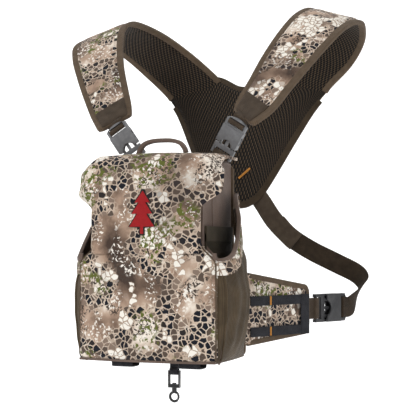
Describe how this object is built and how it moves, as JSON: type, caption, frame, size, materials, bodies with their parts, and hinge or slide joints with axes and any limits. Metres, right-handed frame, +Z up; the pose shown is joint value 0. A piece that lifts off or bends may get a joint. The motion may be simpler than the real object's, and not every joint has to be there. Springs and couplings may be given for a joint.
{
  "type": "binocular harness pack",
  "caption": "Chest pack for binoculars with a forward-opening lid, side pockets, padded shoulder yoke, waist wings with side-release buckles and a tether hook.",
  "frame": {"origin": "centre of the chest panel's flat rear face, which rests on the wearer", "axes": "+X to the right seen from the front, +Y towards the wearer, +Z up; the pack's front faces -Y"},
  "size_m": [0.362, 0.3594, 0.4752],
  "materials": {
    "black_plastic": "gloss",
    "black_webbing": "matte",
    "brown_webbing": "matte",
    "camo_cloth": "matte",
    "dark_plastic": "satin",
    "dark_webbing": "matte",
    "grey_plastic": "satin",
    "mesh_cloth": "matte",
    "olive_stretch": "satin",
    "steel_magnet": "satin",
    "taupe_cloth": "matte",
    "white_sheet": "matte"
  },
  "bodies": {
    "pack": {"chest_panel": "mesh_cloth", "stiffener_sheet": "white_sheet", "inner_front_wall": "taupe_cloth", "front_shell": "camo_cloth", "bottom_panel": "camo_cloth", "rear_shelf": "taupe_cloth", "shelf_magnets": "steel_magnet", "yoke_panel": "mesh_cloth", "hook_tab": "black_webbing", "right_side_wall": "taupe_cloth", "right_side_gusset": "olive_stretch", "right_side_band": "camo_cloth", "right_inner_pocket": "olive_stretch", "right_bottom_loop": "black_webbing", "right_front_pad": "camo_cloth", "right_back_pad": "camo_cloth", "right_shoulder_tab": "dark_webbing", "right_shoulder_webbing": "brown_webbing", "right_yoke_tail": "brown_webbing", "right_belt_webbing": "dark_webbing", "left_side_wall": "taupe_cloth", "left_side_gusset": "olive_stretch", "left_side_band": "camo_cloth", "left_inner_pocket": "olive_stretch", "left_bottom_loop": "black_webbing", "left_front_pad": "camo_cloth", "left_back_pad": "camo_cloth", "left_shoulder_tab": "dark_webbing", "left_shoulder_webbing": "brown_webbing", "left_yoke_tail": "brown_webbing", "left_belt_webbing": "dark_webbing"},
    "lid": {"lid_panel": "camo_cloth", "lid_magnets": "steel_magnet"},
    "lid_loop": {"lid_loop": "taupe_cloth"},
    "right_shoulder_buckle": {"right_shoulder_buckle_male": "grey_plastic", "right_shoulder_buckle_female": "grey_plastic"},
    "right_wing": {"right_wing_panel": "camo_cloth", "right_wing_webbing": "black_webbing", "right_wing_tail": "black_webbing", "right_waist_buckle_male": "dark_plastic", "right_waist_buckle_female": "dark_plastic"},
    "right_shoulder_buckle_outer_prong": {"right_shoulder_buckle_outer_prong": "grey_plastic"},
    "right_shoulder_buckle_inner_prong": {"right_shoulder_buckle_inner_prong": "grey_plastic"},
    "right_waist_buckle_outer_prong": {"right_waist_buckle_outer_prong": "dark_plastic"},
    "right_waist_buckle_inner_prong": {"right_waist_buckle_inner_prong": "dark_plastic"},
    "left_shoulder_buckle": {"left_shoulder_buckle_male": "grey_plastic", "left_shoulder_buckle_female": "grey_plastic"},
    "left_wing": {"left_wing_panel": "camo_cloth", "left_wing_webbing": "black_webbing", "left_wing_tail": "black_webbing", "left_waist_buckle_male": "dark_plastic", "left_waist_buckle_female": "dark_plastic"},
    "left_shoulder_buckle_outer_prong": {"left_shoulder_buckle_outer_prong": "grey_plastic"},
    "left_shoulder_buckle_inner_prong": {"left_shoulder_buckle_inner_prong": "grey_plastic"},
    "left_waist_buckle_outer_prong": {"left_waist_buckle_outer_prong": "dark_plastic"},
    "left_waist_buckle_inner_prong": {"left_waist_buckle_inner_prong": "dark_plastic"},
    "hook_eye": {"hook_eye": "black_plastic"},
    "hook": {"hook_body": "black_plastic"},
    "hook_gate": {"hook_gate": "black_plastic"}
  },
  "joints": [
    {"name": "lid_hinge", "type": "hinge", "parent": "pack", "child": "lid", "pos_m": [0, -0.11, 0.012], "axis": [1, 0, 0], "range_deg": [0, 135]},
    {"name": "lid_loop_fold", "type": "hinge", "parent": "lid", "child": "lid_loop", "pos_m": [0, -0.056, 0.1168], "axis": [1, 0, 0], "range_deg": [-80, 80], "stiffness_Nm_per_rad": 0.01},
    {"name": "right_shoulder_buckle_swing", "type": "hinge", "parent": "pack", "child": "right_shoulder_buckle", "pos_m": [0.053, -0.01, 0.116], "axis": [0.8445, 0, -0.5355], "range_deg": [-20, 20], "stiffness_Nm_per_rad": 0.02, "deforming": ["right_shoulder_webbing"]},
    {"name": "right_wing_hinge", "type": "hinge", "parent": "pack", "child": "right_wing", "pos_m": [0.0792, -0.003, -0.06], "axis": [0, 0, 1], "range_deg": [-15, 12], "deforming": ["right_belt_webbing"]},
    {"name": "right_shoulder_buckle_outer_prong_flex", "type": "hinge", "parent": "right_shoulder_buckle", "child": "right_shoulder_buckle_outer_prong", "pos_m": [0.06652, -0.01208, 0.12238], "axis": [-0.0871, -0.9867, -0.1373], "range_deg": [0, 7], "stiffness_Nm_per_rad": 0.3},
    {"name": "right_shoulder_buckle_inner_prong_flex", "type": "hinge", "parent": "right_shoulder_buckle", "child": "right_shoulder_buckle_inner_prong", "pos_m": [0.05301, -0.01208, 0.13095], "axis": [0.0871, 0.9867, 0.1373], "range_deg": [0, 7], "stiffness_Nm_per_rad": 0.3},
    {"name": "right_waist_buckle_outer_prong_flex", "type": "hinge", "parent": "right_wing", "child": "right_waist_buckle_outer_prong", "pos_m": [0.13752, 0.12207, -0.052], "axis": [-0.9063, 0.4226, 0], "range_deg": [0, 7], "stiffness_Nm_per_rad": 0.3},
    {"name": "right_waist_buckle_inner_prong_flex", "type": "hinge", "parent": "right_wing", "child": "right_waist_buckle_inner_prong", "pos_m": [0.13752, 0.12207, -0.072], "axis": [0.9063, -0.4226, 0], "range_deg": [0, 7], "stiffness_Nm_per_rad": 0.3},
    {"name": "left_shoulder_buckle_swing", "type": "hinge", "parent": "pack", "child": "left_shoulder_buckle", "pos_m": [-0.053, -0.01, 0.116], "axis": [0.8445, 0, 0.5355], "range_deg": [-20, 20], "stiffness_Nm_per_rad": 0.02, "deforming": ["left_shoulder_webbing"]},
    {"name": "left_wing_hinge", "type": "hinge", "parent": "pack", "child": "left_wing", "pos_m": [-0.0792, -0.003, -0.06], "axis": [0, 0, -1], "range_deg": [-15, 12], "deforming": ["left_belt_webbing"]},
    {"name": "left_shoulder_buckle_outer_prong_flex", "type": "hinge", "parent": "left_shoulder_buckle", "child": "left_shoulder_buckle_outer_prong", "pos_m": [-0.06652, -0.01208, 0.12238], "axis": [-0.0871, 0.9867, 0.1373], "range_deg": [0, 7], "stiffness_Nm_per_rad": 0.3},
    {"name": "left_shoulder_buckle_inner_prong_flex", "type": "hinge", "parent": "left_shoulder_buckle", "child": "left_shoulder_buckle_inner_prong", "pos_m": [-0.05301, -0.01208, 0.13095], "axis": [0.0871, -0.9867, -0.1373], "range_deg": [0, 7], "stiffness_Nm_per_rad": 0.3},
    {"name": "left_waist_buckle_outer_prong_flex", "type": "hinge", "parent": "left_wing", "child": "left_waist_buckle_outer_prong", "pos_m": [-0.13752, 0.12207, -0.052], "axis": [-0.9063, -0.4226, 0], "range_deg": [0, 7], "stiffness_Nm_per_rad": 0.3},
    {"name": "left_waist_buckle_inner_prong_flex", "type": "hinge", "parent": "left_wing", "child": "left_waist_buckle_inner_prong", "pos_m": [-0.13752, 0.12207, -0.072], "axis": [0.9063, 0.4226, 0], "range_deg": [0, 7], "stiffness_Nm_per_rad": 0.3},
    {"name": "hook_eye_swing", "type": "hinge", "parent": "pack", "child": "hook_eye", "pos_m": [0, -0.02, -0.13], "axis": [1, 0, 0], "range_deg": [-70, 70]},
    {"name": "hook_swivel", "type": "hinge", "parent": "hook_eye", "child": "hook", "pos_m": [0, -0.02, -0.15], "axis": [0, 0, 1], "continuous": true},
    {"name": "hook_gate_press", "type": "hinge", "parent": "hook", "child": "hook_gate", "pos_m": [0.00426, -0.02, -0.16118], "axis": [0, -1, 0], "range_deg": [0, 24], "stiffness_Nm_per_rad": 0.01}
  ],
  "couplings": [
    {"joint": "right_shoulder_buckle_inner_prong_flex", "follows": "right_shoulder_buckle_outer_prong_flex", "ratio": 1},
    {"joint": "right_waist_buckle_inner_prong_flex", "follows": "right_waist_buckle_outer_prong_flex", "ratio": 1},
    {"joint": "left_shoulder_buckle_inner_prong_flex", "follows": "left_shoulder_buckle_outer_prong_flex", "ratio": 1},
    {"joint": "left_waist_buckle_inner_prong_flex", "follows": "left_waist_buckle_outer_prong_flex", "ratio": 1}
  ]
}
